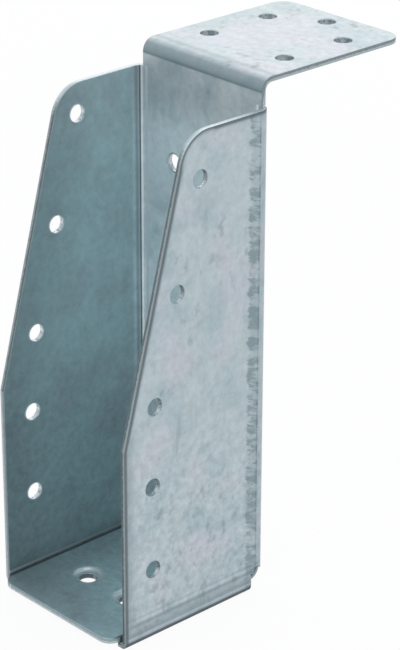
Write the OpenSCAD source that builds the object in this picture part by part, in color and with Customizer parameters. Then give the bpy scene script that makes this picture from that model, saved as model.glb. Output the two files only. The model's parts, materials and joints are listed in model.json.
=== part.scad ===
// Joist hanger: one steel sheet, punched flat and then folded.
// +Z is up and +Y points into the header that carries the hanger.
// The origin is on the centre plane, at the back of the seat: z = 0 is the face that
// the joist stands on, and y = 0 is the face that the end of the joist butts against.

/* [Joist] */
// Width of the joist that the hanger takes
joist_w = 46; // [40:1:80]
// Play between the joist and the two walls together
joist_play = 2.5; // [0.5:0.5:4]
// Height of the joist, from the seat to the underside of the lip
joist_h = 146; // [136:1:190]

/* [Sheet] */
// Thickness of the galvanised sheet
sheet_t = 1.6; // [1.2:0.1:2]
// Inside radius of the wall, lip and seat folds
fold_r = 2.1; // [1.5:0.1:3]
// Inside radius of the tight fold at the foot of each wall
foot_fold_r = 0.5; // [0.3:0.1:1]

/* [Walls] */
// Reach of the walls forward of the end of the joist
wall_depth = 51; // [46:1:60]
// Distance of the level top of the walls below the underside of the lip
wall_drop = 6; // [5:0.5:12]
// Height above the seat at which the upright front edge starts to lean back
lean_start = 57; // [52:1:60]
// Lean of the upper front edge from upright, in degrees
lean_angle = 15; // [12:1:17]
// Radius of the upper front corner of the walls
wall_corner_r = 10; // [4:1:12]

/* [Corner relief] */
// Radius of the round relief at the lower rear corner of each wall
relief_r = 2.1; // [1.6:0.1:2.4]
// Distance of the rear edge of the wall and foot, below the relief, from the centre of the relief
relief_step = 1.9; // [1.3:0.1:2.2]
// Slot between the fold under the back and the upright folds above it
corner_slot = 0.8; // [0.4:0.1:1.2]

/* [Feet] */
// Gap between the ends of the two feet, at the middle of the seat
feet_gap = 2; // [1:0.5:4]
// Width of the strip of each foot that reaches the front edge of its wall
foot_shoulder = 1.5; // [1:0.5:3]
// Distance that the rest of the foot is set back from that edge
foot_setback = 3; // [2:0.5:5]
// Radius of the two free corners of each foot
foot_corner_r = 3; // [1:0.5:4]

/* [Tongue] */
// Clearance between the tongue and the feet that it lies over
lap_gap = 0.1; // [0.1:0.1:0.5]
// Gap between each side of the tongue and the wall beside it
tongue_gap = 1.2; // [0.8:0.1:2.5]
// Distance that the tongue stands out in front of the walls
tongue_nose = 3.8; // [1:0.1:8]
// Radius of the front corners of the tongue
tongue_corner_r = 4; // [1:0.5:6]

/* [Lip] */
// Reach of the lip behind the end of the joist
lip_len = 54; // [52:1:70]
// Distance of the sides of the lip and neck inside the inner faces of the walls
neck_inset = 1; // [0:0.1:1.5]
// Radius of the rear corners of the lip
lip_corner_r = 5; // [1:0.5:8]

/* [Nail holes] */
// Diameter of every nail hole
nail_d = 5; // [4:0.1:6]
// How much higher a hole sits in the left wall than its partner in the right wall
stagger = 4.4; // [0:0.2:6]
// Distance of the highest pair of wall holes below the top of the walls
top_hole_drop = 11; // [10:0.5:14]
// Height between the three pairs of holes along the leaning edge
lean_hole_pitch = 30; // [24:1:32]
// Distance of those holes from the leaning edge, square to it
lean_edge_dist = 8; // [6:0.5:10]
// Height of the lowest pair of wall holes
low_hole_z = 20.5; // [14:0.5:24]
// Height between the two pairs of holes along the upright edge
low_hole_pitch = 25; // [16:1:26]
// Distance of those holes from the upright edge
front_edge_dist = 10; // [8:0.5:12]
// Distance of the two holes in the back below the underside of the lip
back_hole_drop = 31; // [16:1:60]
// Distance between the two holes in the back
back_hole_spacing = 21; // [16:1:28]
// Distance of the four paired lip holes from the sides of the lip
lip_edge_dist = 8.6; // [7:0.1:12]
// Distance of the front pair of lip holes behind the end of the joist
lip_front_y = 16.8; // [12:0.1:22]
// Distance between the front and the rear pair of lip holes
lip_hole_pitch = 22.4; // [16:0.1:26]
// Distance of the single middle hole from the rear edge of the lip
lip_end_dist = 6.2; // [5:0.1:9]

/* [Dimples] */
// Distance between the two dimples pressed into the tongue
dimple_spacing = 17; // [14:0.2:20]
// Distance of the dimples forward of the end of the joist
dimple_y = 35.2; // [20:0.1:40]
// Width of the mouth of a dimple
dimple_d = 9.4; // [8.6:0.1:10]
// Depth that a dimple is pressed down
dimple_depth = 1.1; // [0.6:0.1:1.1]
// Width of the flat ring that is left around the nail hole of a dimple
dimple_ring = 0.4; // [0.2:0.1:0.6]
// Clearance around a dimple in the hole of the foot below it
dimple_play = 0.2; // [0.1:0.1:0.5]

/* [Hidden] */
$fn = 64;
// Distance that a cutter stands clear of what it cuts
over = 1;
left = -1;
right = 1;
// Outside radius of the two sorts of fold
fold_out = fold_r + sheet_t;
foot_out = foot_fold_r + sheet_t;
// Half widths of the pocket, of the flat of the back, of the lip and of the tongue
pocket_half = (joist_w + joist_play) / 2;
back_half = pocket_half - fold_r;
lip_half = pocket_half - neck_inset;
tongue_half = pocket_half - tongue_gap;
// Levels of the tongue's underside, of the foot and of the start of its fold
tongue_low = -sheet_t;
foot_low = tongue_low - lap_gap - sheet_t;
foot_fold_z = foot_low + foot_out;
wall_top = joist_h - wall_drop;
// The relief is centred on the fold lines, in y and in z
relief_y = -fold_r;
relief_z = fold_r;
// Height above the seat at which the upright folds start
upright_start = fold_r + corner_slot;
foot_rear = relief_y - relief_step;
foot_front = foot_setback - wall_depth;
foot_side = pocket_half - foot_fold_r;
// Front edge of the wall at a height above the start of the lean
function lean_y(z) = (z - lean_start) * tan(lean_angle) - wall_depth;
// Slope of a dimple, and how much further out its underside turns than its top
dimple_floor = nail_d / 2 + dimple_ring;
dimple_slope = atan(dimple_depth / (dimple_d / 2 - dimple_floor));
dimple_shift = sheet_t * tan(dimple_slope / 2);
dimple_rim = dimple_d / 2 + dimple_shift;

// What rounding takes off the corner c, where the edges run away along a and b
module corner_waste(c, a, b, r) {
    half_angle = acos(a * b) / 2;
    middle = (a + b) / norm(a + b);
    centre = c + middle * r / sin(half_angle);
    reach = r / tan(half_angle);
    difference() {
        polygon([c - middle * over, c + a * reach, centre, c + b * reach]);
        translate(centre) circle(r);
    }
}

// A quarter turn of sheet about the z axis, from the direction start
module fold(r, start, length) {
    rotate([0, 0, start])
        rotate_extrude(angle = 90)
            translate([r, 0])
                square([sheet_t, length]);
}

// A sheet or fold drawn in x and y is stood up so that these become y and z
module stand_along_x() {
    rotate([90, 0, 90]) children();
}

module wall_outline() {
    tip = [lean_y(wall_top), wall_top];
    difference() {
        polygon([
            [-wall_depth, foot_fold_z],
            [-wall_depth, lean_start],
            tip,
            [-fold_r, wall_top],
            [-fold_r, foot_fold_z]
        ]);
        corner_waste(tip, [1, 0], [-sin(lean_angle), -cos(lean_angle)], wall_corner_r);
    }
}

// What the round relief takes off a wall and its upright fold. Below the centre of the
// relief the wall ends where its foot does, and the fold starts above the corner slot.
module relief_outline() {
    low = foot_fold_z - over;
    translate([relief_y, relief_z]) circle(relief_r);
    translate([foot_rear, low]) square([fold_out + over - foot_rear, relief_z - low]);
    translate([relief_y, low]) square([fold_out + over - relief_y, upright_start - low]);
}

module wall(side) {
    difference() {
        union() {
            // The wall itself
            translate([side * (pocket_half + sheet_t / 2) - sheet_t / 2, 0, 0])
                stand_along_x()
                    linear_extrude(sheet_t)
                        wall_outline();
            // Its upright fold into the back
            translate([side * back_half, -fold_r, 0])
                fold(fold_r, side == right ? 0 : 90, wall_top);
        }
        translate([side * pocket_half - fold_out, 0, 0])
            stand_along_x()
                linear_extrude(2 * fold_out)
                    relief_outline();
        wall_bores(side);
    }
    // Its tight fold into the foot
    translate([side * foot_side, foot_rear, foot_fold_z])
        rotate([90, 0, 0])
            fold(foot_fold_r, side == right ? -90 : 180, foot_rear + wall_depth);
}

module wall_bores(side) {
    lift = -side * stagger / 2;
    for (i = [0:2]) {
        z = wall_top - top_hole_drop - i * lean_hole_pitch + lift;
        wall_bore(side, lean_y(z) + lean_edge_dist / cos(lean_angle), z);
    }
    for (i = [0:1])
        wall_bore(side, front_edge_dist - wall_depth, low_hole_z + i * low_hole_pitch + lift);
}

module wall_bore(side, y, z) {
    translate([side * (pocket_half + sheet_t / 2), y, z])
        rotate([0, 90, 0])
            cylinder(d = nail_d, h = sheet_t + 2 * over, center = true);
}

// The foot on the right, drawn from below the tongue
module foot_outline() {
    inner_end = feet_gap / 2;
    shoulder = foot_side - foot_shoulder;
    difference() {
        polygon([
            [foot_side, foot_rear],
            [foot_side, -wall_depth],
            [shoulder, -wall_depth],
            [shoulder - foot_setback, foot_front],
            [inner_end, foot_front],
            [inner_end, foot_rear]
        ]);
        corner_waste([inner_end, foot_front], [1, 0], [0, 1], foot_corner_r);
        corner_waste([inner_end, foot_rear], [1, 0], [0, -1], foot_corner_r);
        translate([dimple_spacing / 2, -dimple_y]) circle(dimple_rim + dimple_play);
    }
}

module feet() {
    for (turn = [0, 1])
        mirror([turn, 0, 0])
            translate([0, 0, foot_low])
                linear_extrude(sheet_t)
                    foot_outline();
}

module back() {
    difference() {
        union() {
            translate([-back_half, 0, fold_r]) cube([2 * back_half, sheet_t, wall_top - fold_r]);
            translate([-lip_half, 0, wall_top]) cube([2 * lip_half, sheet_t, wall_drop - fold_r]);
            // Its fold into the tongue
            translate([-tongue_half, -fold_r, fold_r])
                stand_along_x()
                    fold(fold_r, -90, 2 * tongue_half);
        }
        for (side = [left, right])
            translate([side * back_hole_spacing / 2, sheet_t / 2, joist_h - back_hole_drop])
                rotate([90, 0, 0])
                    cylinder(d = nail_d, h = sheet_t + 2 * over, center = true);
    }
}

module tongue_outline() {
    nose = wall_depth + tongue_nose;
    difference() {
        translate([-tongue_half, -nose]) square([2 * tongue_half, nose - fold_r]);
        for (side = [left, right])
            corner_waste([side * tongue_half, -nose], [-side, 0], [0, 1], tongue_corner_r);
    }
}

// The sheet pressed down under the tongue, before the dimple is hollowed out
module dimple_boss() {
    rotate_extrude()
        polygon([
            [0, tongue_low - dimple_depth],
            [dimple_floor + dimple_shift, tongue_low - dimple_depth],
            [dimple_rim, tongue_low],
            [dimple_rim, tongue_low / 2],
            [0, tongue_low / 2]
        ]);
}

module dimple_hollow() {
    rotate_extrude()
        polygon([
            [0, -dimple_depth],
            [dimple_floor, -dimple_depth],
            [dimple_d / 2, 0],
            [dimple_d / 2, over],
            [0, over]
        ]);
    translate([0, 0, tongue_low - dimple_depth - over])
        cylinder(d = nail_d, h = sheet_t + dimple_depth + over);
}

module tongue() {
    difference() {
        union() {
            translate([0, 0, tongue_low])
                linear_extrude(sheet_t)
                    tongue_outline();
            for (side = [left, right])
                translate([side * dimple_spacing / 2, -dimple_y, 0]) dimple_boss();
        }
        for (side = [left, right])
            translate([side * dimple_spacing / 2, -dimple_y, 0]) dimple_hollow();
    }
}

module lip_outline() {
    difference() {
        translate([-lip_half, fold_out]) square([2 * lip_half, lip_len - fold_out]);
        for (side = [left, right])
            corner_waste([side * lip_half, lip_len], [-side, 0], [0, -1], lip_corner_r);
    }
}

module lip() {
    difference() {
        translate([0, 0, joist_h]) linear_extrude(sheet_t) lip_outline();
        for (side = [left, right], y = [lip_front_y, lip_front_y + lip_hole_pitch])
            lip_bore(side * (lip_half - lip_edge_dist), y);
        lip_bore(0, lip_len - lip_end_dist);
    }
    // Its fold into the neck
    translate([-lip_half, fold_out, joist_h - fold_r])
        stand_along_x()
            fold(fold_r, 90, 2 * lip_half);
}

module lip_bore(x, y) {
    translate([x, y, joist_h + sheet_t / 2])
        cylinder(d = nail_d, h = sheet_t + 2 * over, center = true);
}

// One folded sheet
module hanger() {
    color("silver") {
        for (side = [left, right]) wall(side);
        feet();
        back();
        tongue();
        lip();
    }
}

hanger();
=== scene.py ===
"""Looks of a joist hanger folded from one galvanised sheet: the sheet with its cut edges broken, the burrs
around its punched holes, a zinc finish with the marks of folding and painted light and shade, and a pale
studio around it."""

import json
import math

import bmesh
import bpy
import numpy as np
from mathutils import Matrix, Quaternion, Vector


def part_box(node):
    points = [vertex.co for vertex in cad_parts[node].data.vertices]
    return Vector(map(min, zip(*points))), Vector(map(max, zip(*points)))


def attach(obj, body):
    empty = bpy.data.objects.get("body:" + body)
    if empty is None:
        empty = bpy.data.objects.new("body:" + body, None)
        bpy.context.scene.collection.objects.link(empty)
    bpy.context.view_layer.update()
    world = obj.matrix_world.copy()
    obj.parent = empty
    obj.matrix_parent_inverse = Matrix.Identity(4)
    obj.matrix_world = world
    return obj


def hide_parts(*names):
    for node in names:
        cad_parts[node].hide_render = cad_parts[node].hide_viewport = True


bl_info = {
    "name": "Joist hanger looks",
    "version": (1, 0, 0),
    "blender": (4, 5, 0),
    "location": "View3D > Sidebar > Joist hanger",
    "description": "Galvanised finish, hole burrs and studio for a folded joist hanger",
    "category": "Object",
}

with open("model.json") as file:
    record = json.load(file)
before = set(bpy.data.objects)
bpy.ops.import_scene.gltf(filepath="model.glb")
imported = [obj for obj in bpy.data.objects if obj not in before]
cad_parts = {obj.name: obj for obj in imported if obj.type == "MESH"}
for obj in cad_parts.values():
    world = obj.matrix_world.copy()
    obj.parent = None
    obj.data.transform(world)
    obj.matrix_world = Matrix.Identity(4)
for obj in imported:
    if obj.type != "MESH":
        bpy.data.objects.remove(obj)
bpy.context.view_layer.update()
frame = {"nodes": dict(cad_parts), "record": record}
CAD_LOW, CAD_HIGH = (np.array(corner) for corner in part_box("hanger"))
MOUNTS = {mount["name"]: mount for mount in frame["record"]["mounts"]}


# ---------------------------------------------------------------- the sheet's shape, in metres

# Thickness of the sheet, inner and outer radius of its folds, and inner radius of the feet's folds
SHEET = 0.0016
FOLD_R = 0.0021
FOLD_OUT_R = FOLD_R + SHEET
FOOT_FOLD_R = 0.0005

# Level of the lip's underside, which is the top of the header
LIP_Z = float(CAD_HIGH[2]) - SHEET

# The walls: the inner face, the axis of the fold to the back, and where that fold ends, below at the relief
# and above at the wall's top edge, which is 6 mm under the lip
WALL_IN = float(CAD_HIGH[0]) - SHEET
WALL_FOLD_X = WALL_IN - FOLD_R
WALL_FOLD_LOW = FOLD_R + 0.0004
WALL_TOP = LIP_Z - 0.006

# The walls' outline: the front edge, the height where it starts to lean back, by how much, and the radius
# of the top corner
WALL_FRONT = -0.051
LEAN_START = 0.057
LEAN_ANGLE = math.radians(15)
WALL_CORNER = 0.010

# The feet: the axis of their folds, and their upper faces
FOOT_FOLD_X = WALL_IN - FOOT_FOLD_R
FOOT_FOLD_Z = float(CAD_LOW[2]) + FOOT_FOLD_R + SHEET
FOOT_TOP = float(CAD_LOW[2]) + SHEET

# Radius of the nail holes, and distance of the lip's last hole from its end
HOLE_R = MOUNTS["lip_nails"]["dims"]["hole_r_mm"] / 1000
LIP_END = 0.0062

# The dimples of the seat: the place of the right one, the radius at the top and at the floor, and the depth
DIMPLE_X = MOUNTS["seat_nails"]["dims"]["spacing_x_mm"] / 2000
DIMPLE_Y = MOUNTS["seat_nails"]["pos_m"][1]
DIMPLE_R = 0.0047
DIMPLE_FLOOR_R = HOLE_R + 0.0004
DIMPLE_DEPTH = 0.0011

# Slack for a point that lies on a face, and for the middle of an edge that is told by where it is
TOUCH = 0.000001
NEAR = 0.0001


def dimple_sink(x, y):
    """How far the dimples lower the seat at each place. Outside a dimple's radius that is nothing, and
    from there it grows evenly to the depth of the dimple at the edge of its floor."""
    away = np.hypot(np.abs(x) - DIMPLE_X, y - DIMPLE_Y)
    return DIMPLE_DEPTH * np.clip((DIMPLE_R - away) / (DIMPLE_R - DIMPLE_FLOOR_R), 0, 1)


def sheet_depth(points):
    """Depth below the joist's side of the sheet, and the direction in which it grows, for each point.

    In a flat the depth is the distance from the joist's face of that flat. In a fold it is the distance
    from the fold's axis less the radius at the joist's face, and the lip's fold, which turns the other way,
    takes the radius at its outside less that distance. The direction is the unit vector that the formula's
    distance grows along. In a dimple the faces of the tongue and of the foot sink by as much as its cone."""
    x, y, z = points.T
    side = np.sign(x) + (x == 0)
    across = np.abs(x)
    sink = dimple_sink(x, y)
    depth = np.empty(len(points))
    grow = np.zeros_like(points)

    def flat(where, value, axis, sign):
        """A flat across one axis, where the depth is the given value"""
        depth[where] = value[where]
        grow[where] = 0
        grow[where, axis] = (sign * np.ones_like(x))[where]

    def fold(where, a, b, axis_a, axis_b, radius, sign):
        """A fold about the place where a and b, the distances along two axes, are 0"""
        reach = np.hypot(a, b)
        depth[where] = (sign * (reach - radius))[where]
        grow[where] = 0
        grow[where, axis_a] = (sign * a / np.maximum(reach, TOUCH))[where]
        grow[where, axis_b] = (sign * b / np.maximum(reach, TOUCH))[where]

    back = np.ones(len(points), bool)
    within = across < WALL_IN - TOUCH
    wall = (across > WALL_IN - TOUCH) & (y < -FOLD_R + TOUCH) & (z > FOOT_FOLD_Z - TOUCH)
    wall_fold = (across > WALL_FOLD_X) & (y > -FOLD_R) & (z > WALL_FOLD_LOW) & (z < WALL_TOP + TOUCH)
    seat_fold = within & (y > -FOLD_R) & (z < FOLD_R)
    tongue = within & (y <= -FOLD_R) & (z >= FOOT_TOP + TOUCH) & (z < TOUCH)
    foot_fold = (across > FOOT_FOLD_X) & (z < FOOT_FOLD_Z)
    foot = (across <= FOOT_FOLD_X) & (z < FOOT_TOP + TOUCH)
    lip = (y >= FOLD_OUT_R) & (z > LIP_Z - TOUCH)
    lip_fold = (y < FOLD_OUT_R) & (z > LIP_Z - FOLD_R) & ~lip

    flat(back, y, 1, 1)
    flat(wall, across - WALL_IN, 0, side)
    fold(seat_fold, y + FOLD_R, z - FOLD_R, 1, 2, FOLD_R, 1)
    fold(wall_fold, side * (across - WALL_FOLD_X), y + FOLD_R, 0, 1, FOLD_R, 1)
    flat(tongue, np.clip(-z - sink, 0, SHEET), 2, -1)
    fold(foot_fold, side * (across - FOOT_FOLD_X), z - FOOT_FOLD_Z, 0, 2, FOOT_FOLD_R, 1)
    flat(foot, np.clip(FOOT_TOP - z - sink, 0, SHEET), 2, -1)
    fold(lip_fold, y - FOLD_OUT_R, z - LIP_Z + FOLD_R, 1, 2, FOLD_OUT_R, -1)
    flat(lip, LIP_Z + SHEET - z, 2, -1)
    return depth, grow


def nail_holes():
    """Middle of each nail hole in the lip, the back and the walls, in the middle of the sheet, with the
    direction out of the sheet on the side where the punch came through. The middles of the bolt patterns
    give them: the two upper patterns of a wall share their inner hole, so half the step from one middle to
    the next leads from each middle to its holes."""
    middle = {name: np.array(mount["pos_m"]) for name, mount in MOUNTS.items()}
    sizes = {name: mount["dims"] for name, mount in MOUNTS.items()}
    down, forward = np.array([0.0, 0, -1]), np.array([0.0, -1, 0])
    lip = sizes["lip_nails"]
    step = np.array([lip["spacing_x_mm"], lip["spacing_y_mm"], 0]) / 2000
    holes = [(middle["lip_nails"] + step * (side, end, 0), down) for side in (-1, 1) for end in (-1, 1)]
    holes.append((np.array([0, float(CAD_HIGH[1]) - LIP_END, middle["lip_nails"][2]]), down))
    half = sizes["back_nails"]["spacing_x_mm"] / 2000
    holes += [(middle["back_nails"] + (side * half, 0, 0), forward) for side in (-1, 1)]
    for name, side in (("left", -1), ("right", 1)):
        upper, next_down = middle[f"{name}_upper_nails"], middle[f"{name}_middle_nails"]
        lower = middle[f"{name}_lower_nails"]
        half_step = (next_down - upper) / 2
        rise = np.array([0, 0, sizes[f"{name}_lower_nails"]["spacing_y_mm"] / 2000])
        spots = [upper - half_step, upper + half_step, next_down + half_step, lower - rise, lower + rise]
        holes += [(spot, np.array([-side, 0.0, 0])) for spot in spots]
    return holes


def from_hole(points, middle, out):
    """Distance of points from a hole's axis, and their height above the middle of the sheet"""
    away = points - middle
    height = away @ out
    return np.sqrt(np.maximum((away**2).sum(axis=-1) - height**2, 0)), height


# ---------------------------------------------------------------- settings


class SheetSettings(bpy.types.PropertyGroup):
    """How the sheet's edges are finished"""

    edge_round: bpy.props.FloatProperty(
        name="Edge rounding",
        description="Width of the break along every cut edge",
        default=0.00016,
        unit="LENGTH",
    )
    punch_round: bpy.props.FloatProperty(
        name="Punched rim rounding",
        description="Width of the roll-in around a nail hole where the punch went in",
        default=0.00034,
        unit="LENGTH",
    )
    crease_round: bpy.props.FloatProperty(
        name="Dimple rounding",
        description="Width of the soft bend where a dimple starts",
        default=0.0005,
        unit="LENGTH",
    )
    sharp_angle: bpy.props.FloatProperty(
        name="Sharp angle",
        description="Edges that turn by more than this are cut edges",
        default=math.radians(40),
        subtype="ANGLE",
    )


class ZincSettings(bpy.types.PropertyGroup):
    """Colours and finish of the galvanised steel"""

    zinc: bpy.props.FloatVectorProperty(
        name="Zinc",
        description="Colour of the zinc coat",
        default=(0.45, 0.525, 0.555),
        subtype="COLOR",
    )
    dull: bpy.props.FloatVectorProperty(
        name="Dull zinc",
        description="Colour of the duller, greener patches",
        default=(0.38, 0.47, 0.505),
        subtype="COLOR",
    )
    blush: bpy.props.FloatVectorProperty(
        name="Blush",
        description="Colour of the faintly pink patches",
        default=(0.485, 0.52, 0.57),
        subtype="COLOR",
    )
    # Painted light and shade inside the channel: there the coat takes this greener colour for the teal
    # shade, and on the back the lighter one below for the light that reaches it
    shaded_inside_zinc: bpy.props.FloatVectorProperty(
        name="Shaded inside zinc",
        description="Colour of the coat inside the channel",
        default=(0.415, 0.555, 0.58),
        subtype="COLOR",
    )
    back: bpy.props.FloatVectorProperty(
        name="Lit back zinc",
        description="Colour of the coat on the joist's side of the back",
        default=(0.545, 0.615, 0.64),
        subtype="COLOR",
    )
    dirt: bpy.props.FloatVectorProperty(
        name="Scuffs",
        description="Colour of pits and scuffs",
        default=(0.20, 0.25, 0.28),
        subtype="COLOR",
    )
    # Also painted shade: this colour darkens the lip's bend, the inner corners and the walls' edges as
    # shade, besides the pressed bands and the die's teeth
    bend: bpy.props.FloatVectorProperty(
        name="Bends and shade",
        description="Colour of the coat where the sheet is bent or pressed, and of painted shade",
        default=(0.165, 0.235, 0.26),
        subtype="COLOR",
    )
    # Painted shade: the dark put in the creases, in the gaps beside the seat, in the inner corners and along
    # the walls' rim
    grime: bpy.props.FloatVectorProperty(
        name="Grime",
        description="Colour of the painted shade in the creases",
        default=(0.04, 0.06, 0.068),
        subtype="COLOR",
    )
    # Painted highlights: the light lines beside the bends and creases and around the dimples
    crest: bpy.props.FloatVectorProperty(
        name="Painted highlights",
        description="Colour of the painted highlights beside the bends and around the dimples",
        default=(0.66, 0.72, 0.75),
        subtype="COLOR",
    )
    sheared: bpy.props.FloatVectorProperty(
        name="Sheared edge",
        description="Colour of the smooth part of a cut edge",
        default=(0.27, 0.31, 0.325),
        subtype="COLOR",
    )
    torn: bpy.props.FloatVectorProperty(
        name="Torn edge",
        description="Colour of the rough part of a cut edge",
        default=(0.12, 0.155, 0.17),
        subtype="COLOR",
    )
    patch: bpy.props.FloatProperty(
        name="Patches",
        description="Size of the patches in the coat",
        default=0.014,
        unit="LENGTH",
    )
    crystal: bpy.props.FloatProperty(
        name="Crystals",
        description="Size of the crystals in the coat",
        default=0.005,
        unit="LENGTH",
    )
    roughness: bpy.props.FloatProperty(
        name="Roughness",
        description="Roughness of the zinc coat",
        default=0.42,
        min=0.0,
        max=1.0,
    )
    metal: bpy.props.FloatProperty(
        name="Metal",
        description="Share of bare metal shine in the weathered coat",
        default=0.6,
        min=0.0,
        max=1.0,
    )


class BurrSettings(bpy.types.PropertyGroup):
    """The rims that the punch raises around the nail holes"""

    width: bpy.props.FloatProperty(
        name="Width",
        description="Width of the rim around a hole",
        default=0.0004,
        unit="LENGTH",
    )
    height: bpy.props.FloatProperty(
        name="Height",
        description="Height of the rim above the sheet",
        default=0.00014,
        unit="LENGTH",
    )


class StageSettings(bpy.types.PropertyGroup):
    """Camera, floor and light"""

    azimuth: bpy.props.FloatProperty(
        name="Azimuth",
        description="Turn of the camera from the open front towards the right wall",
        default=math.radians(47.0),
        subtype="ANGLE",
    )
    elevation: bpy.props.FloatProperty(
        name="Elevation",
        description="Height of the camera above level",
        default=math.radians(24.35),
        subtype="ANGLE",
    )
    distance: bpy.props.FloatProperty(
        name="Distance",
        description="Distance of the camera from the point it aims at",
        default=0.7046,
        unit="LENGTH",
    )
    roll: bpy.props.FloatProperty(
        name="Roll",
        description="Turn of the camera about its own axis",
        default=math.radians(0.17),
        subtype="ANGLE",
    )
    aim_height: bpy.props.FloatProperty(
        name="Aim height",
        description="Height above the seat of the point that the camera aims at",
        default=0.0697,
        unit="LENGTH",
    )
    lens: bpy.props.FloatProperty(
        name="Lens",
        description="Focal length in millimetres on a sensor 36 mm high",
        default=140.0,
    )
    floor: bpy.props.FloatVectorProperty(
        name="Floor",
        description="Colour of the floor",
        default=(0.9, 0.9, 0.9),
        subtype="COLOR",
    )
    sky: bpy.props.FloatVectorProperty(
        name="Sky",
        description="Colour of the soft light all round",
        default=(0.9, 0.95, 1.0),
        subtype="COLOR",
    )
    sky_strength: bpy.props.FloatProperty(
        name="Sky strength",
        description="Strength of the soft light all round",
        default=0.9,
        min=0.0,
    )
    lamp: bpy.props.FloatVectorProperty(
        name="Lamps",
        description="Colour of the light of the softboxes",
        default=(1.0, 0.93, 0.87),
        subtype="COLOR",
    )


# ---------------------------------------------------------------- meshes

# Steps across a rounded edge, the turn below which neighbouring faces of the CAD mesh are one face, and
# the turn above which an edge around a dimple is a crease
EDGE_STEPS = 3
SAME_FACE = math.radians(0.5)
CREASE = math.radians(10)

# Painted light on the cut edges, from 0 to 1: on those that face up, those of the tongue's front, of the lip
# and of the left wall's front, the bores of the lip, and the bores of the left wall and of the back
EDGE_LIGHT_UP = 0.75
EDGE_LIGHT_TONGUE = 0.45
EDGE_LIGHT_LIP = 0.25
EDGE_LIGHT_FRONT = 0.35
EDGE_LIGHT_LIP_BORE = 0.28
EDGE_LIGHT_BORE = 0.5

# The burrs: steps around the hole and over the profile, the gap to the bore, the share of the height by
# which a burr rises and falls, the two counts whose waves it follows, and the level of its sunken foot
BURR_TURN_STEPS = 48
BURR_PROFILE_STEPS = 7
BURR_CLEAR = 0.00001
BURR_UNEVEN = 0.3
BURR_WAVES = 5
BURR_SWELLS = 2
BURR_FOOT = -0.0002


def own_piece(name, mesh, material):
    """A steel piece of the hanger, which rides on its one body"""
    piece = bpy.data.objects.new(name, mesh)
    bpy.context.scene.collection.objects.link(piece)
    mesh.materials.clear()
    mesh.materials.append(material)
    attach(piece, "root")
    return piece


def vectors(items, what):
    """One row for each vertex or face of a mesh, with its place or its normal"""
    flat = np.empty(3 * len(items))
    items.foreach_get(what, flat)
    return flat.reshape(-1, 3)


def store(mesh, name, domain, values):
    """Puts an attribute of values from 0 to 1 into a mesh, for its material to read"""
    attribute = mesh.attributes.new(name, "FLOAT", domain)
    attribute.data.foreach_set("value", np.clip(values, 0, 1))


def in_bore(centres, holes):
    """1 for each face in the bore of a nail hole or on its rim, and 0 for the others"""
    bore = np.zeros(len(centres))
    for middle, out in holes:
        reach, height = from_hole(centres, middle, out)
        bore[(reach < HOLE_R + NEAR / 2) & (np.abs(height) < SHEET)] = 1
    return bore


def painted_edge_light(centres, normals, bore):
    """How much painted light each face gets as a cut edge, by where it is and where it faces"""
    facing_up = np.clip(2 * normals[:, 2] - 0.4, 0, 1)
    left_half = centres[:, 0] < 0
    on_lip = centres[:, 1] > FOLD_OUT_R
    on_tongue = (np.abs(centres[:, 0]) < WALL_IN) & (centres[:, 1] < DIMPLE_Y - DIMPLE_R)
    left_front = left_half & (normals[:, 1] < -0.98)
    edges = EDGE_LIGHT_TONGUE * on_tongue + EDGE_LIGHT_LIP * on_lip * (1 - bore) + EDGE_LIGHT_FRONT * left_front
    bores = bore * np.where(on_lip, EDGE_LIGHT_LIP_BORE, EDGE_LIGHT_BORE * (centres[:, 0] < WALL_IN))
    return np.maximum(EDGE_LIGHT_UP * facing_up, edges + bores)


def mark_sheet(mesh, holes):
    """Stores on every point its depth through the sheet, from 0 on the joist's side to 1, and on every face
    how far it is a cut edge, which is 1 minus the size of the part of its normal that runs through the
    sheet, whether it belongs to a nail hole, and how much painted light it gets as a cut edge."""
    centres = vectors(mesh.polygons, "center")
    normals = vectors(mesh.polygons, "normal")
    depth, _ = sheet_depth(vectors(mesh.vertices, "co"))
    _, grow = sheet_depth(centres)
    bore = in_bore(centres, holes)
    store(mesh, "through", "POINT", depth / SHEET)
    store(mesh, "cut", "FACE", 1 - np.abs((normals * grow).sum(axis=1)))
    store(mesh, "bore", "FACE", bore)
    store(mesh, "rubbed", "FACE", painted_edge_light(centres, normals, bore))


def edge_middle(edge):
    """Middle of an edge of a bmesh"""
    return np.array((edge.verts[0].co + edge.verts[1].co) / 2)


def is_punched(edge, holes):
    """Whether an edge is the rim of a nail hole on the side where the punch went in"""
    place = edge_middle(edge)
    for middle, out in holes:
        reach, height = from_hole(place, middle, out)
        if abs(reach - HOLE_R) < NEAR and abs(height + SHEET / 2) < NEAR:
            return True
    return False


def is_dimple_crease(edge):
    """Whether an edge is where a dimple starts to sink into the top of the seat"""
    x, y, z = edge_middle(edge)
    away = math.hypot(abs(x) - DIMPLE_X, y - DIMPLE_Y)
    return abs(z) < NEAR / 2 and abs(away - DIMPLE_R) < NEAR and edge.calc_face_angle(0) > CREASE


def round_edges(shape, edges, width):
    """Breaks edges of a bmesh over the given width"""
    bmesh.ops.bevel(
        shape,
        geom=edges,
        offset=width,
        offset_type="OFFSET",
        segments=EDGE_STEPS,
        profile=0.5,
        affect="EDGES",
    )


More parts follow.
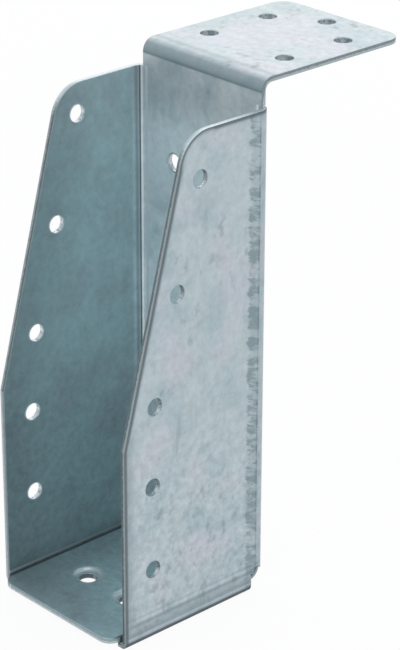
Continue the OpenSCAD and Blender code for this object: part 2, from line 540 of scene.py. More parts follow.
def dressed_mesh(settings, holes):
    """A copy of the CAD node's mesh, with the triangles of each face joined and three kinds of edges
    rounded: the punched rims, the other cut edges and the creases around the dimples"""
    shape = bmesh.new()
    shape.from_mesh(frame["nodes"]["hanger"].data)
    bmesh.ops.remove_doubles(shape, verts=shape.verts, dist=TOUCH)
    bmesh.ops.dissolve_limit(shape, angle_limit=SAME_FACE, verts=shape.verts, edges=shape.edges)
    cut = [edge for edge in shape.edges if edge.calc_face_angle_signed(0) > settings.sharp_angle]
    punched = [edge for edge in cut if is_punched(edge, holes)]
    others = [edge for edge in cut if not is_punched(edge, holes)]
    creases = [edge for edge in shape.edges if is_dimple_crease(edge)]
    round_edges(shape, punched, settings.punch_round)
    round_edges(shape, others, settings.edge_round)
    round_edges(shape, creases, settings.crease_round)
    mesh = bpy.data.meshes.new("folded_sheet")
    shape.to_mesh(mesh)
    shape.free()
    return mesh


class HANGER_OT_sheet(bpy.types.Operator):
    """Make the folded sheet with its cut edges broken"""

    bl_idname = "hanger.sheet"
    bl_label = "Folded sheet"

    def execute(self, context):
        holes = nail_holes()
        mesh = dressed_mesh(context.scene.hanger_sheet, holes)
        mark_sheet(mesh, holes)
        mesh.shade_smooth()
        sheet = own_piece("folded_sheet", mesh, zinc_material(context.scene.hanger_zinc))
        shading = sheet.modifiers.new("Even shading", "WEIGHTED_NORMAL")
        shading.keep_sharp = False
        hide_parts("hanger")
        return {"FINISHED"}


def rim_mesh(holes, width, height):
    """Rims around holes. Around each hole the angle turns from 0 to a full turn and the profile angle from
    0 to half a turn: the distance from the hole's middle is the hole's radius plus half the width times
    the difference of 1 and the cosine of the profile angle, and the height above the sheet is the height
    times the sine of the profile angle, made higher and lower in waves around the hole. A foot sunk into
    the sheet closes the profile."""
    around = np.linspace(0, 2 * np.pi, BURR_TURN_STEPS, endpoint=False)
    profile = np.linspace(0, np.pi, BURR_PROFILE_STEPS)
    uneven = 1 + BURR_UNEVEN * np.sin(BURR_WAVES * around) * np.cos(BURR_SWELLS * around)
    reach = HOLE_R + BURR_CLEAR + width / 2 * (1 - np.cos(profile))
    lift = height * np.sin(profile)[:, None] * uneven
    reach = np.concatenate([reach, reach[[-1, 0]]])
    lift = np.concatenate([lift, np.full((2, len(around)), BURR_FOOT)])

    row, column = np.meshgrid(np.arange(len(reach)), np.arange(len(around)), indexing="ij")
    next_row = (row + 1) % len(reach)
    next_column = (column + 1) % len(around)
    corners = [(row, column), (next_row, column), (next_row, next_column), (row, next_column)]
    quads = np.stack([a * len(around) + b for a, b in corners], axis=-1).reshape(-1, 4)

    places, faces = [], []
    for count, (middle, out) in enumerate(holes):
        first = np.roll(out, 1)
        second = np.cross(out, first)
        ring = first * np.cos(around)[:, None] + second * np.sin(around)[:, None]
        top = middle + out * SHEET / 2
        places.append((top + reach[:, None, None] * ring + lift[..., None] * out).reshape(-1, 3))
        faces.append(quads + count * len(reach) * len(around))
    mesh = bpy.data.meshes.new("hole_burrs")
    mesh.from_pydata(np.concatenate(places).tolist(), [], np.concatenate(faces).tolist())
    return mesh


class HANGER_OT_burrs(bpy.types.Operator):
    """Make the rims that the punch raised around the nail holes"""

    bl_idname = "hanger.burrs"
    bl_label = "Hole burrs"

    def execute(self, context):
        settings = context.scene.hanger_burrs
        mesh = rim_mesh(nail_holes(), settings.width, settings.height)
        shape = bmesh.new()
        shape.from_mesh(mesh)
        bmesh.ops.recalc_face_normals(shape, faces=shape.faces)
        shape.to_mesh(mesh)
        shape.free()
        mesh.shade_smooth()
        own_piece("hole_burrs", mesh, burr_material(context.scene.hanger_zinc))
        return {"FINISHED"}


# ---------------------------------------------------------------- finish: nodes


class Nodes:
    """A node tree with short ways to add and join nodes"""

    def __init__(self, tree):
        self.tree = tree

    def add(self, kind, **values):
        """A new node, with the given properties"""
        node = self.tree.nodes.new(kind)
        for name, value in values.items():
            setattr(node, name, value)
        return node

    def join(self, source, target):
        """A link from an output to an input"""
        self.tree.links.new(source, target)

    def feed(self, socket, value):
        """Links an input to a socket, or sets it to a number, vector or colour"""
        if isinstance(value, bpy.types.NodeSocket):
            self.join(value, socket)
        elif value is not None:
            socket.default_value = value

    def math(self, operation, a, b=None, c=None):
        """Result of a math node"""
        node = self.add("ShaderNodeMath", operation=operation)
        for socket, value in zip(node.inputs, (a, b, c)):
            self.feed(socket, value)
        return node.outputs[0]

    def chain(self, operation, values):
        """One math operation from the first value to the last"""
        result, *others = values
        for value in others:
            result = self.math(operation, result, value)
        return result

    def product(self, *values):
        """All values multiplied"""
        return self.chain("MULTIPLY", values)

    def total(self, *values):
        """All values added"""
        return self.chain("ADD", values)

    def largest(self, *values):
        """The largest of the values"""
        return self.chain("MAXIMUM", values)

    def least(self, *values):
        """The least of the values"""
        return self.chain("MINIMUM", values)

    def less(self, value, other):
        """A value less another"""
        return self.math("SUBTRACT", value, other)

    def scaled(self, value, times, plus):
        """A value times one number, plus another"""
        return self.math("MULTIPLY_ADD", value, times, plus)

    def ramp(self, value, low, high):
        """Smooth step from 0 at low to 1 at high"""
        node = self.add("ShaderNodeMapRange", interpolation_type="SMOOTHSTEP")
        self.feed(node.inputs["Value"], value)
        self.feed(node.inputs["From Min"], low)
        self.feed(node.inputs["From Max"], high)
        return node.outputs["Result"]

    def drop(self, value, level, width):
        """Smooth step from 1 below level to 0 at level plus width"""
        return self.less(1.0, self.ramp(value, level, level + width))

    def hump(self, value, middle, half_width, height):
        """Smooth hump of the given height around the middle"""
        reach = self.math("DIVIDE", self.math("ABSOLUTE", self.less(value, middle)), half_width)
        return self.product(self.less(1.0, self.ramp(reach, 0.0, 1.0)), height)

    def mix(self, factor, a, b):
        """Colour a at factor 0, and colour b at factor 1"""
        node = self.add("ShaderNodeMix", data_type="RGBA")
        self.feed(node.inputs["Factor"], factor)
        self.feed(node.inputs[6], a)
        self.feed(node.inputs[7], b)
        return node.outputs[2]

    def tinted(self, colour, tone):
        """Colour times a grey value"""
        grey = self.add("ShaderNodeCombineColor")
        for socket in grey.inputs:
            self.join(tone, socket)
        node = self.add("ShaderNodeMix", data_type="RGBA", blend_type="MULTIPLY")
        node.inputs["Factor"].default_value = 1.0
        self.feed(node.inputs[6], colour)
        self.join(grey.outputs[0], node.inputs[7])
        return node.outputs[2]

    def separated(self, vector):
        """The three outputs x, y and z of a vector"""
        node = self.add("ShaderNodeSeparateXYZ")
        self.feed(node.inputs[0], vector)
        return node.outputs

    def shifted(self, vector, offset):
        """A vector plus a fixed one"""
        node = self.add("ShaderNodeVectorMath", operation="ADD")
        self.feed(node.inputs[0], vector)
        node.inputs[1].default_value = offset
        return node.outputs[0]

    def stretched(self, vector, turn, scale):
        """A vector scaled and then turned, which stretches a pattern along the axes of a small scale"""
        node = self.add("ShaderNodeMapping")
        self.feed(node.inputs["Vector"], vector)
        node.inputs["Rotation"].default_value = turn
        node.inputs["Scale"].default_value = scale
        return node.outputs[0]

    def noise(self, vector, scale, detail=2.0, rough=0.5):
        """Noise from 0 to 1, mostly near 0.5, whose scale is in waves for each metre"""
        node = self.add("ShaderNodeTexNoise")
        self.feed(node.inputs["Vector"], vector)
        self.feed(node.inputs["Scale"], scale)
        node.inputs["Detail"].default_value = detail
        node.inputs["Roughness"].default_value = rough
        return node.outputs["Fac"]

    def attribute(self, name):
        """A value that the mesh holds under a name"""
        return self.add("ShaderNodeAttribute", attribute_name=name).outputs["Fac"]

    def place(self, tree, **values):
        """Places a node group, feeds its inputs and returns its outputs"""
        node = self.add("ShaderNodeGroup", node_tree=tree)
        for name, value in values.items():
            self.feed(node.inputs[name], value)
        return node.outputs


def effect(name, inputs, outputs):
    """An empty shader node group, with its sockets given as a kind and the names of that kind. The caller
    reads it at its source and writes it at its result."""
    tree = bpy.data.node_groups.new(name, "ShaderNodeTree")
    for way, sockets in (("INPUT", inputs), ("OUTPUT", outputs)):
        for kind, labels in sockets.items():
            for label in labels.split():
                tree.interface.new_socket(name=label, in_out=way, socket_type="NodeSocket" + kind)
    n = Nodes(tree)
    n.source = n.add("NodeGroupInput").outputs
    n.result = n.add("NodeGroupOutput").inputs
    return n


def shared(name, build):
    """The node group of this name, which the first material that asks for it builds"""
    return bpy.data.node_groups.get(name) or build(name)


def new_material(name):
    """A new material, with its node tree and its shader"""
    material = bpy.data.materials.new(name)
    material.use_nodes = True
    return material, Nodes(material.node_tree), material.node_tree.nodes["Principled BSDF"]


# ---------------------------------------------------------------- finish: effects

# Places of the marks and of the painted shade and highlights, in metres: heights above the seat on the
# walls, y for the lip's edge and the die's line, and the way down from the lip's top face for its root. A
# line is the place of its middle, its half width and how strong it is. Along an upright fold the place is
# the angle about the fold's axis, in radians from the wall, and past a quarter turn it lies on the back. In
# a dimple it is the way from its middle. The band above the feet's folds has its level, the width of its
# upper end and its strength. The lip's lines, the corner's bends and line, the hem and the highlight lines
# are painted shade and painted highlights.
LIP_EDGE_LINE = (0.0046, 0.0022, 0.42)
LIP_ROOT_LINE = (FOLD_OUT_R, 0.0008, 0.2)
FOOT_BAND = (0.0035, 0.0008, 0.36)
FOOT_LINES = ((0.0032, 0.0008, 0.3), (0.0053, 0.0007, 0.26), (0.0005, 0.0014, 0.26))
FOOT_HIGHLIGHTS = ((0.0046, 0.0005, 0.12), (-0.0004, 0.0005, 0.3))
SEAT_HIGHLIGHT = (0.0002, 0.0008, 1.0)
HEM_TOP = -0.0009
DIE_LINE = (-0.0026, 0.0006, 0.3)
CORNER_BEND_SHADE = ((0.3, 0.6, 0.7), (1.2, 0.15, 0.3))
CORNER_CREASE_SHADE = (0.72, 0.20, 0.95)
CORNER_HIGHLIGHTS = ((0.98, 0.13, 0.5), (1.73, 0.38, 1.0))
DIMPLE_POLISH = (DIMPLE_R - 0.001, 0.0016, 1.6)
DIMPLE_HIGHLIGHT = (DIMPLE_R - 0.001, 0.0014, 1.5)


def coat_effect(name):
    """Colour of a zinc coat: dull and blushed clouds, faint crystals and a fine grain over them"""
    n = effect(
        name,
        {"Vector": "Place", "Color": "Zinc Dull Blush", "Float": "Patch Crystal"},
        {"Color": "Color", "Float": "Shade"},
    )
    place = n.source["Place"]
    wide = n.math("DIVIDE", 1.0, n.source["Patch"])
    clouds = n.noise(place, wide, detail=3.0, rough=0.6)
    blushes = n.noise(n.shifted(place, (0.31, 0.17, 0.05)), n.product(wide, 0.8), detail=1.0)
    colour = n.mix(n.ramp(clouds, 0.42, 0.68), n.source["Zinc"], n.source["Dull"])
    colour = n.mix(n.ramp(blushes, 0.48, 0.68), colour, n.source["Blush"])
    cells = n.add("ShaderNodeTexVoronoi")
    n.feed(cells.inputs["Vector"], place)
    n.feed(cells.inputs["Scale"], n.math("DIVIDE", 1.0, n.source["Crystal"]))
    crystal = n.add("ShaderNodeSeparateColor")
    n.join(cells.outputs["Color"], crystal.inputs[0])
    grain = n.noise(place, 420.0, detail=4.0, rough=0.7)
    coarser_low = n.scaled(n.drop(n.separated(place)[2], 0.03, 0.04), 0.35, 0.5)
    tone = n.scaled(n.less(grain, 0.5), coarser_low, 1.0)
    faceted = n.total(tone, n.scaled(crystal.outputs[0], 0.05, -0.025))
    n.join(n.tinted(colour, faceted), n.result["Color"])
    n.join(grain, n.result["Shade"])
    return n.tree


def wear_effect(name):
    """Marks of handling: irregular pits in drifts, thicker towards the feet, and a few longer scuffs"""
    n = effect(name, {"Vector": "Place", "Float": "Amount"}, {"Float": "Mask"})
    place = n.source["Place"]
    thicker_low = n.product(n.drop(n.separated(place)[2], 0.02, 0.05), 0.09)
    drifts = n.ramp(n.total(n.noise(place, 60.0, detail=1.0), thicker_low), 0.48, 0.64)
    leaning = n.stretched(place, (0.7, 0.3, -0.5), (1.0, 1.0, 0.7))
    pit = n.product(n.ramp(n.noise(leaning, 380.0, detail=2.0, rough=0.55), 0.54, 0.72), drifts)
    drawn = n.stretched(place, (0.5, 0.35, -0.4), (1.0, 1.0, 0.12))
    scuff = n.product(n.ramp(n.noise(drawn, 330.0, detail=1.0), 0.7, 0.78), 0.5)
    n.join(n.product(n.largest(pit, scuff), n.source["Amount"]), n.result["Mask"])
    return n.tree


def outline_effect(name):
    """Distance of a place on a wall from the wall's front edge, or higher up from its leaning edge, and
    its distance from the rim: these edges, the top edge and the round corner between them. The corner is a
    circle that touches both edges, and their distances a and b from its middle meet at the lean's angle
    from square, so the way to the middle is the root of a and b squared less twice a times b times the
    sine of that angle."""
    n = effect(name, {"Vector": "Place"}, {"Float": "Distance Rim"})
    _, y, z = n.separated(n.source["Place"])
    behind = n.less(y, WALL_FRONT)
    lean = n.product(n.less(z, LEAN_START), math.tan(LEAN_ANGLE))
    leant = n.product(n.less(behind, lean), math.cos(LEAN_ANGLE))
    n.join(n.least(behind, leant), n.result["Distance"])
    a = n.largest(n.less(WALL_CORNER, leant), 0.0)
    b = n.largest(n.total(n.less(z, WALL_TOP), WALL_CORNER), 0.0)
    squares = n.total(n.product(a, a), n.product(b, b))
    span = n.math("SQRT", n.total(squares, n.product(a, b, -2 * math.sin(LEAN_ANGLE))))
    n.join(n.least(behind, n.less(WALL_CORNER, span)), n.result["Rim"])
    return n.tree


def lip_shade(n, y, below_top, joist_side):
    """Painted shade on the lip's bend, darker downwards, with the dark line along its upper edge, and the
    thin line of painted shade where the bend ends on the back"""
    near_lip = n.product(n.drop(y, FOLD_OUT_R, 0.0004), joist_side)
    bend = n.product(n.ramp(below_top, 0.0003, 0.0011), n.drop(below_top, FOLD_OUT_R, 0.0004))
    bend = n.product(bend, n.scaled(below_top, 130.0, 0.42))
    bend = n.product(n.least(bend, 1.0), near_lip)
    edge = n.product(n.hump(y, *LIP_EDGE_LINE), n.drop(below_top, 0.0002, 0.0003))
    root = n.product(n.hump(below_top, *LIP_ROOT_LINE), near_lip)
    return n.total(bend, edge), root


def wall_bands_and_shade(n, z, behind, rim):
    """The band and the lines above the feet's folds, and the painted shade along the walls' edges, which is
    wide along the upright part of the front edge"""
    level, width, strength = FOOT_BAND
    foot = n.product(n.drop(z, level, width), strength)
    foot = n.total(foot, *(n.hump(z, *line) for line in FOOT_LINES))
    edge = n.product(n.drop(rim, 0.0004, 0.0014), 0.7)
    upright = n.product(n.drop(behind, 0.0, 0.0048), n.drop(z, LEAN_START, 0.01), 0.5)
    return n.largest(foot, edge, upright)


def corner_shade_lines(n, x, y, z, joist_side):
    """Painted shade and highlights of the upright folds on the joist's side: the dark bends, the thin dark
    line and the light lines
    """
    turn = n.math("ARCTAN2", n.total(y, FOLD_R), n.less(x, WALL_FOLD_X))
    here = n.product(n.ramp(x, WALL_FOLD_X - 0.0024, WALL_FOLD_X - 0.0014), joist_side)
    here = n.product(here, n.drop(z, WALL_TOP, 0.0004))
    bend = n.product(n.total(*(n.hump(turn, *line) for line in CORNER_BEND_SHADE)), here)
    grime = n.product(n.hump(turn, *CORNER_CREASE_SHADE), here)
    crest = n.product(n.total(*(n.hump(turn, *line) for line in CORNER_HIGHLIGHTS)), here)
    return bend, grime, crest


def die_teeth(n, y, z):
    """The band that the folding die leaves beside an upright fold: its front end is ragged, because how
    far it reaches and how dark it is follow a noise in rows, and a line and a shade end it at the fold"""
    rows = n.add("ShaderNodeCombineXYZ")
    n.join(n.product(y, 0.3), rows.inputs[1])
    n.join(n.scaled(y, 0.35, z), rows.inputs[2])
    row = n.noise(rows.outputs[0], 420.0, detail=3.0, rough=0.7)
    ragged = n.ramp(n.less(y, n.scaled(row, 0.005, -0.0093)), 0.0, 0.0012)
    teeth = n.product(ragged, n.drop(y, -0.0026, 0.0005), n.scaled(n.drop(row, 0.42, 0.18), 0.6, 0.16))
    return n.total(teeth, n.hump(y, *DIE_LINE), n.product(n.ramp(y, -0.0024, -0.0020), 0.22))


def press_effect(name):
    """Where the sheet was bent or pressed, with painted shade and highlights. The dark bends: the lip's bend
    and the upright bends on the joist's side, as painted shade, and on the walls' outer side the band above
    the feet's bends
    and painted shade along the edges. Teeth: the toothed band that the folding die leaves beside the upright
    bends.
    The crease shade: thin dark lines of painted shade in the creases and along the walls' rim, and painted
    light lines
    beside them. Polish: the slopes of the dimples, drawn smooth by the punch. Inside: the joist's side of
    the sheet below the lip."""
    n = effect(
        name,
        {"Vector": "Place", "Float": "Through Behind Rim"},
        {"Float": "Bend Teeth Grime Crest Polish Inside"},
    )
    through, behind, rim = (n.source[label] for label in ("Through", "Behind", "Rim"))
    signed_x, y, z = n.separated(n.source["Place"])
    x = n.math("ABSOLUTE", signed_x)
    below_top = n.less(float(CAD_HIGH[2]), z)

    # The parts of the sheet that carry marks, painted shade and highlights: each is 1 there and 0 elsewhere
    joist_side = n.drop(through, 0.1, 0.3)
    on_wall = n.ramp(x, WALL_IN - 0.0006, WALL_IN - 0.0002)
    wall_out = n.product(on_wall, n.ramp(through, 0.6, 0.9))
    wall_in = n.product(on_wall, joist_side, n.drop(y, -FOLD_R, 0.0003))
    on_seat = n.product(n.drop(x, WALL_IN - 0.001, 0.0001), n.drop(z, 0.0001, 0.0001), joist_side)

    x_off = n.math("POWER", n.less(x, DIMPLE_X), 2.0)
    y_off = n.math("POWER", n.less(y, DIMPLE_Y), 2.0)
    from_dimple = n.math("SQRT", n.total(x_off, y_off))

    # Painted shade on the bends and along the edges, the bands above the feet, and the teeth
    lip, lip_root = lip_shade(n, y, below_top, joist_side)
    corner, corner_crease_shade, corner_highlight = corner_shade_lines(n, x, y, z, joist_side)
    foot = n.product(wall_bands_and_shade(n, z, behind, rim), wall_out)
    n.join(n.largest(lip, foot, corner), n.result["Bend"])
    n.join(n.product(die_teeth(n, y, z), wall_out), n.result["Teeth"])

    # Painted shade in the creases at the feet and beside the seat, and along the walls' rim
    hem = n.product(n.drop(z, HEM_TOP - 0.0006, 0.0006), wall_out, 0.8)
    outline = n.product(n.drop(rim, 0.0005, 0.0007), wall_out, 0.6)
    gap = n.product(n.drop(z, HEM_TOP, 0.0004), wall_in, 0.4)
    brim = n.product(n.ramp(x, WALL_IN - 0.0022, WALL_IN - 0.0013), on_seat, n.drop(y, -0.005, 0.001))
    n.join(n.largest(hem, outline, gap, brim, corner_crease_shade, lip_root), n.result["Grime"])

    # Painted highlight lines above the feet's folds, beside the seat and around the dimples
    sill = n.product(n.total(*(n.hump(z, *line) for line in FOOT_HIGHLIGHTS)), wall_out)
    ledge = n.product(n.hump(z, *SEAT_HIGHLIGHT), wall_in)
    ring = n.product(n.hump(from_dimple, *DIMPLE_HIGHLIGHT), on_seat)
    n.join(n.largest(corner_highlight, sill, ledge, ring), n.result["Crest"])

    slope = n.product(n.hump(from_dimple, *DIMPLE_POLISH), on_seat)
    n.join(n.least(slope, 1.0), n.result["Polish"])
    n.join(n.product(joist_side, n.ramp(below_top, 0.0005, FOLD_OUT_R)), n.result["Inside"])
    return n.tree


def inside_shade_effect(name):
    """Painted shade inside the channel: the coat is darker towards the open front, the feet and the left
    wall, and on the back again towards the lip, as the light falls there. Back is 1 on the back and 0 on the
    walls."""
    n = effect(name, {"Vector": "Place", "Float": "Behind"}, {"Float": "Tone Back"})
    x, y, z = n.separated(n.source["Place"])
    back = n.ramp(y, -0.004, -0.0015)
    front = n.scaled(n.ramp(n.source["Behind"], -0.001, 0.021), 0.30, 0.74)
    low = n.scaled(n.ramp(z, 0.025, 0.075), 0.18, 0.88)
    height = n.scaled(n.product(n.ramp(z, 0.121, 0.137), back), -0.36, low)
    on_walls = n.scaled(x, 19.5, 1.33)
    on_back = n.scaled(n.ramp(z, 0.07, 0.115), -0.15, 1.27)
    across = n.total(on_walls, n.product(back, n.less(on_back, on_walls)))
    n.join(n.product(front, height, across), n.result["Tone"])
    n.join(back, n.result["Back"])
    return n.tree


def edge_effect(name):
    """Colour of a cut edge. The tool goes in from the outer side of the sheet and leaves a smooth band,
    and it tears the rest up to the joist's side, with an uneven line between the two. The bore of a
    nail hole is torn at both rims and in specks."""
    n = effect(
        name,
        {"Vector": "Place", "Float": "Through Bore Rubbed", "Color": "Sheared Torn"},
        {"Color": "Color", "Float": "Torn"},
    )
    place = n.source["Place"]
    rubbed = n.source["Rubbed"]
    ragged = n.scaled(n.noise(place, 900.0, detail=2.0), 0.5, -0.25)
    depth = n.total(n.source["Through"], ragged)
    # Painted light on the cut edge makes it less torn and its streaks lighter
    torn = n.product(n.drop(depth, 0.46, 0.1), n.scaled(rubbed, -0.9, 1.0))
    from_middle = n.math("ABSOLUTE", n.less(depth, 0.5))
    specks = n.product(n.ramp(n.noise(place, 1500.0, detail=1.0), 0.56, 0.66), 0.9)
    chewed = n.largest(n.ramp(from_middle, 0.30, 0.42), specks)
    torn = n.total(torn, n.product(n.source["Bore"], n.less(chewed, torn)))
    streaks = n.scaled(n.noise(place, 2600.0, detail=1.0), 0.4, 0.8)
    streaks = n.product(streaks, n.scaled(rubbed, 1.5, 1.0))
    n.join(n.tinted(n.mix(torn, n.source["Sheared"], n.source["Torn"]), streaks), n.result["Color"])
    n.join(torn, n.result["Torn"])
    return n.tree


# ---------------------------------------------------------------- finish: materials


def zinc_coat(n, settings, place, inside, inside_shade):
    """The coat, which inside the channel takes its own colours under the painted shade, lighter or duller
    than outside it
    """
    # Inside the channel the greener colour and the lighter back colour are painted shade and painted light
    shaded_inside_zinc = n.mix(inside_shade["Back"], (*settings.shaded_inside_zinc, 1), (*settings.back, 1))
    shaded_inside_zinc = n.tinted(shaded_inside_zinc, inside_shade["Tone"])
    shaded = n.tinted((*settings.dull, 1), inside_shade["Tone"])
    return n.place(
        shared("Zinc coat", coat_effect),
        Place=place,
        Zinc=n.mix(inside, (*settings.zinc, 1), shaded_inside_zinc),
        Dull=n.mix(inside, (*settings.dull, 1), shaded),
        Blush=n.mix(inside, (*settings.blush, 1), shaded_inside_zinc),
        Patch=settings.patch,
        Crystal=settings.crystal,
    )


def zinc_colour(n, settings, coat, marks, press, cut, edge):
    """The coat's colour, under the marks of handling and pressing and the painted shade and highlights, and
    the bare cut edges over them
    """
    colour = n.mix(marks, coat["Color"], (*settings.dirt, 1))
    # The painted shade and highlights go into the colour here, with the die's teeth
    for label, tint in (
        ("Bend", settings.bend),
        ("Teeth", settings.bend),
        ("Crest", settings.crest),
        ("Grime", settings.grime),
    ):
        colour = n.mix(press[label], colour, (*tint, 1))
    return n.mix(cut, colour, edge["Color"])


def zinc_roughness(n, settings, coat, marks, press, cut, edge):
    """Rougher on marks, torn edges and the painted crease shade, finely uneven with the coat's grain, and
    smooth where the punch polished it"""
    rough = n.scaled(marks, 0.2, settings.roughness)
    rough = n.scaled(n.product(cut, edge["Torn"]), 0.2, rough)
    rough = n.scaled(coat["Shade"], -0.15, n.total(rough, 0.075))
    rough = n.largest(rough, press["Grime"])
    return n.product(rough, n.scaled(press["Polish"], -0.6, 1.0))


def zinc_metal(n, settings, press, cut):
    """Duller inside the channel, bare metal on the cut edges, and none under the painted crease shade"""
    metal = n.scaled(press["Inside"], -0.12, settings.metal)
    metal = n.scaled(cut, 0.9 - settings.metal, metal)
    return n.product(metal, n.less(1.0, press["Grime"]))


def zinc_relief(n, place, marks, press):
    """The coat's low waves, with the marks and the die's teeth pressed into them"""
    bump = n.add("ShaderNodeBump")
    bump.inputs["Strength"].default_value = 0.5
    bump.inputs["Distance"].default_value = 0.0002
    waves = n.noise(place, 300.0, detail=3.0, rough=0.65)
    height = n.scaled(press["Teeth"], -0.6, n.scaled(marks, -0.5, waves))
    n.join(height, bump.inputs["Height"])
    return bump.outputs[0]


def zinc_material(settings):
    """Galvanised steel sheet: the coat, darker at the bends with painted shade, the marks on it, painted
    highlights and the bare cut edges
    """
    material, n, shader = new_material("galvanised_steel")
    place = n.add("ShaderNodeTexCoord").outputs["Object"]
    through = n.attribute("through")
    cut = n.ramp(n.attribute("cut"), 0.5, 0.85)
    outline = n.place(shared("Behind the edge", outline_effect), Place=place)
    behind = outline["Distance"]
    press = n.place(
        shared("Press marks", press_effect),
        Place=place,
        Through=through,
        Behind=behind,
        Rim=outline["Rim"],
    )
    # Painted shade inside the channel, darker towards the front, the feet and the left wall
    inside_shade = n.place(shared("Painted inside shade", inside_shade_effect), Place=place, Behind=behind)
    coat = zinc_coat(n, settings, place, press["Inside"], inside_shade)
    soiling = n.scaled(press["Inside"], -0.25, 0.42)
    marks = n.place(shared("Handling marks", wear_effect), Place=place, Amount=soiling)["Mask"]
    # The cut edges, with their painted light read from the mesh
    edge = n.place(
        shared("Cut edge", edge_effect),
        Place=place,
        Through=through,
        Bore=n.attribute("bore"),
        Rubbed=n.attribute("rubbed"),
        Sheared=(*settings.sheared, 1),
        Torn=(*settings.torn, 1),
    )
    n.join(zinc_colour(n, settings, coat, marks, press, cut, edge), shader.inputs["Base Color"])
    n.join(zinc_roughness(n, settings, coat, marks, press, cut, edge), shader.inputs["Roughness"])
    n.join(zinc_metal(n, settings, press, cut), shader.inputs["Metallic"])
    n.join(zinc_relief(n, place, marks, press), shader.inputs["Normal"])
    return material


def burr_material(settings):
    """The raised rims of the holes: the coat with more metal shine and less roughness, with the same grain
    """
    material, n, shader = new_material("burr_steel")
    place = n.add("ShaderNodeTexCoord").outputs["Object"]
    edge = n.place(
        shared("Cut edge", edge_effect),
        Place=place,
        Through=n.noise(place, 300.0, detail=2.0),
        Bore=0.0,
        Rubbed=0.0,
        Sheared=(*settings.zinc, 1),
        Torn=(*settings.dull, 1),
    )
    n.join(edge["Color"], shader.inputs["Base Color"])
    shader.inputs["Metallic"].default_value = 0.85
    n.join(n.scaled(edge["Torn"], 0.15, 0.3), shader.inputs["Roughness"])
    return material


# ---------------------------------------------------------------- stage

# The floor is a disc well past the view, with so many sides, and this share of it is seen as plain white
FLOOR_RADIUS = 2.5
FLOOR_SIDES = 96
FLOOR_GLOW = 0.94

# The softboxes: name, place, side of the square and power in watts. The large one high behind the left
# wall glances off the lip, and the small one lights the right wall.
SOFTBOXES = (
    ("back_softbox", (-0.55, 0.7, 0.62), 0.8, 1.85),
    ("right_softbox", (0.9, 0.2, 0.4), 0.5, 1.0),
)


def sees_white(n):
    """1 for the camera, glossy and transmission rays, which see the background as plain white"""
    rays = n.add("ShaderNodeLightPath")
    return n.largest(*(rays.outputs[f"Is {kind} Ray"] for kind in ("Camera", "Glossy", "Transmission")))


def blended(n, share, a, b, target):
    """Shader a at share 0 and shader b at share 1, joined to a target"""
    blend = n.add("ShaderNodeMixShader")
    n.join(share, blend.inputs[0])
    n.join(a.outputs[0], blend.inputs[1])
    n.join(b.outputs[0], blend.inputs[2])
    n.join(blend.outputs[0], target.inputs[0])


def make_floor(scene, settings):
    """A flat disc under the feet, its rim one full turn at the radius"""
    turn = np.linspace(0, 2 * np.pi, FLOOR_SIDES, endpoint=False)
    level = np.full(FLOOR_SIDES, CAD_LOW[2])
    rim = np.column_stack([FLOOR_RADIUS * np.cos(turn), FLOOR_RADIUS * np.sin(turn), level])
    mesh = bpy.data.meshes.new("floor")
    mesh.from_pydata(rim.tolist(), [], [list(range(FLOOR_SIDES))])
    floor = bpy.data.objects.new("floor", mesh)
    scene.collection.objects.link(floor)
    material, n, shader = new_material("studio_floor")
    shader.inputs["Base Color"].default_value = (*settings.floor, 1)
    shader.inputs["Roughness"].default_value = 1.0
    shader.inputs["Specular IOR Level"].default_value = 0.0
    glow = n.add("ShaderNodeEmission")
    glow.inputs["Strength"].default_value = 1.0
    share = n.product(sees_white(n), FLOOR_GLOW)
    blended(n, share, shader, glow, material.node_tree.nodes["Material Output"])
    mesh.materials.append(material)


def make_world(scene, settings):
    """A soft even light from all round, which the camera and reflections see as plain white"""
    world = bpy.data.worlds.new("studio")
    world.use_nodes = True
    n = Nodes(world.node_tree)
    n.tree.nodes.clear()
    soft = n.add("ShaderNodeBackground")
    soft.inputs["Color"].default_value = (*settings.sky, 1)
    soft.inputs["Strength"].default_value = settings.sky_strength
    white = n.add("ShaderNodeBackground")
    white.inputs["Color"].default_value = (1, 1, 1, 1)
    white.inputs["Strength"].default_value = 1.0
    blended(n, sees_white(n), soft, white, n.add("ShaderNodeOutputWorld"))
    scene.world = world


def make_lamps(scene, settings):
    """The softboxes, aimed at the middle of the hanger"""
    middle = Vector((CAD_LOW + CAD_HIGH) / 2)
    for name, place, side, power in SOFTBOXES:
        light = bpy.data.lights.new(name, "AREA")
        light.shape = "SQUARE"
        light.size = side
        light.energy = power
        light.color = settings.lamp
        softbox = bpy.data.objects.new(name, light)
        softbox.location = place
        softbox.rotation_euler = (middle - Vector(place)).to_track_quat("-Z", "Y").to_euler()
        scene.collection.objects.link(softbox)


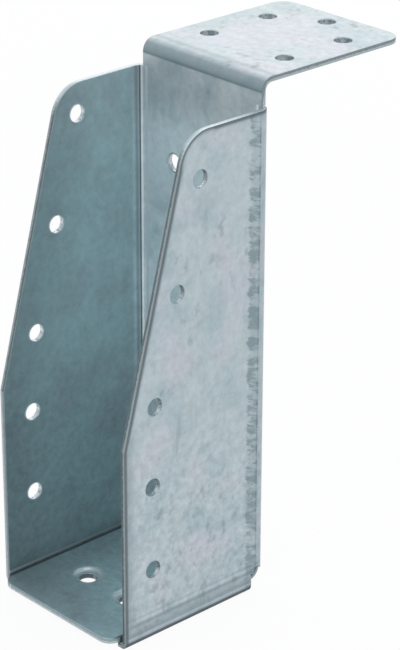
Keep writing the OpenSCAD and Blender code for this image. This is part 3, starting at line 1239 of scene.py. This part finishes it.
def make_camera(scene, settings):
    """The camera stands at the azimuth, elevation and distance from a point above the seat"""
    turn, rise = settings.azimuth, settings.elevation
    away = Vector((math.sin(turn) * math.cos(rise), -math.cos(turn) * math.cos(rise), math.sin(rise)))
    lens = bpy.data.cameras.new("camera")
    lens.sensor_width = 36.0
    lens.lens = settings.lens
    camera = bpy.data.objects.new("camera", lens)
    camera.location = Vector((0, 0, settings.aim_height)) + away * settings.distance
    turned = away.to_track_quat("Z", "Y") @ Quaternion((0, 0, 1), settings.roll)
    camera.rotation_euler = turned.to_euler()
    scene.collection.objects.link(camera)
    scene.camera = camera


class HANGER_OT_stage(bpy.types.Operator):
    """Make the floor, the lights and the camera"""

    bl_idname = "hanger.stage"
    bl_label = "Stage"

    def execute(self, context):
        scene = context.scene
        settings = scene.hanger_stage
        scene.view_settings.view_transform = "Standard"
        make_floor(scene, settings)
        make_world(scene, settings)
        make_lamps(scene, settings)
        make_camera(scene, settings)
        return {"FINISHED"}


# ---------------------------------------------------------------- panel and registering


class VIEW3D_PT_joist_hanger(bpy.types.Panel):
    """Buttons for each piece, with its settings"""

    bl_label = "Joist hanger"
    bl_space_type = "VIEW_3D"
    bl_region_type = "UI"
    bl_category = "Joist hanger"

    def draw(self, context):
        scene = context.scene
        for operator, groups in (
            (HANGER_OT_sheet, (scene.hanger_sheet, scene.hanger_zinc)),
            (HANGER_OT_burrs, (scene.hanger_burrs,)),
            (HANGER_OT_stage, (scene.hanger_stage,)),
        ):
            box = self.layout.box()
            for settings in groups:
                for name in settings.__annotations__:
                    box.prop(settings, name)
            box.operator(operator.bl_idname)


CLASSES = (
    SheetSettings,
    ZincSettings,
    BurrSettings,
    StageSettings,
    HANGER_OT_sheet,
    HANGER_OT_burrs,
    HANGER_OT_stage,
    VIEW3D_PT_joist_hanger,
)
SETTINGS = {
    "hanger_sheet": SheetSettings,
    "hanger_zinc": ZincSettings,
    "hanger_burrs": BurrSettings,
    "hanger_stage": StageSettings,
}


def register():
    """Adds the classes and, to each scene, the settings"""
    for kind in CLASSES:
        bpy.utils.register_class(kind)
    for name, group in SETTINGS.items():
        setattr(bpy.types.Scene, name, bpy.props.PointerProperty(type=group))


def unregister():
    """Takes the settings and the classes away"""
    for name in SETTINGS:
        delattr(bpy.types.Scene, name)
    for kind in reversed(CLASSES):
        bpy.utils.unregister_class(kind)


def main():
    """Makes every piece and the stage"""
    register()
    bpy.ops.hanger.sheet()
    bpy.ops.hanger.burrs()
    bpy.ops.hanger.stage()


if __name__ == "__main__":
    main()
